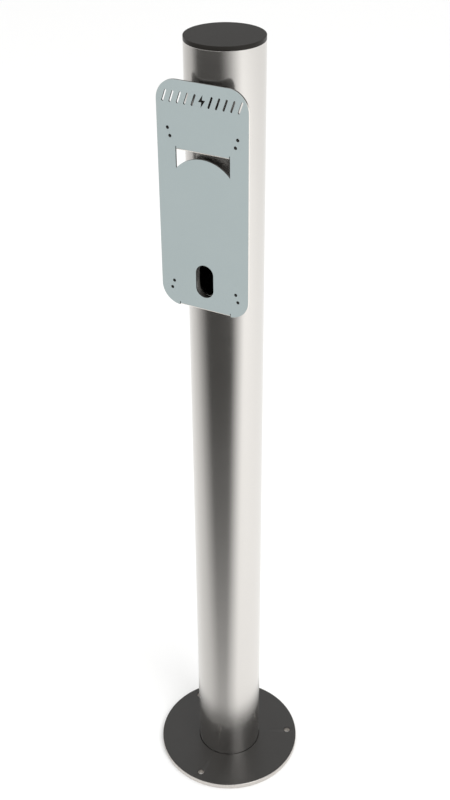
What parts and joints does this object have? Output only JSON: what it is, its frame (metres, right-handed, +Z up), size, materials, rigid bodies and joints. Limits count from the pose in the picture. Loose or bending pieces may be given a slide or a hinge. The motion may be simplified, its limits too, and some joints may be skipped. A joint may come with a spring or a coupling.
{
  "type": "ev charging post",
  "caption": "Round stainless post on a flanged base, with a push-in cap and a folded plate near the top for a wall charger.",
  "frame": {"origin": "centre of the base flange's underside, on the ground", "axes": "+Z up along the tube, the charger plate faces -Y, +X to the right as seen from the front of the plate turned about Z"},
  "size_m": [0.259, 0.259, 1.37],
  "materials": {
    "tube_steel": "satin brushed stainless",
    "flange_steel": "bright cut stainless",
    "plate_steel": "matt pale grey face with bright cut edges",
    "cover_black": "satin black",
    "weld_steel": "cleaned weld bead",
    "cap_plastic": "fine-grained black moulding",
    "fastener_steel": "bright stainless fastener",
    "nut_steel": "dark plain steel"
  },
  "bodies": {
    "post": {"base_flange": "flange_steel", "base_cover": "cover_black", "base_weld": "weld_steel", "post_tube": "tube_steel", "charger_plate": "plate_steel", "upper_tab_weld": "weld_steel", "lower_tab_weld": "weld_steel", "outer_nut_1": "nut_steel", "outer_nut_2": "nut_steel", "outer_nut_3": "nut_steel", "outer_nut_4": "nut_steel", "inner_nut_1": "nut_steel", "inner_nut_2": "nut_steel", "inner_nut_3": "nut_steel", "inner_nut_4": "nut_steel", "earth_stud": "fastener_steel", "earth_washer": "fastener_steel", "earth_spring_washer": "fastener_steel", "earth_nut": "fastener_steel"},
    "cap": {"top_cap": "cap_plastic"}
  },
  "joints": [
    {"name": "cap_lift", "type": "slide", "parent": "post", "child": "cap", "axis": [0, 0, 1], "range_m": [0, 0.03]}
  ]
}
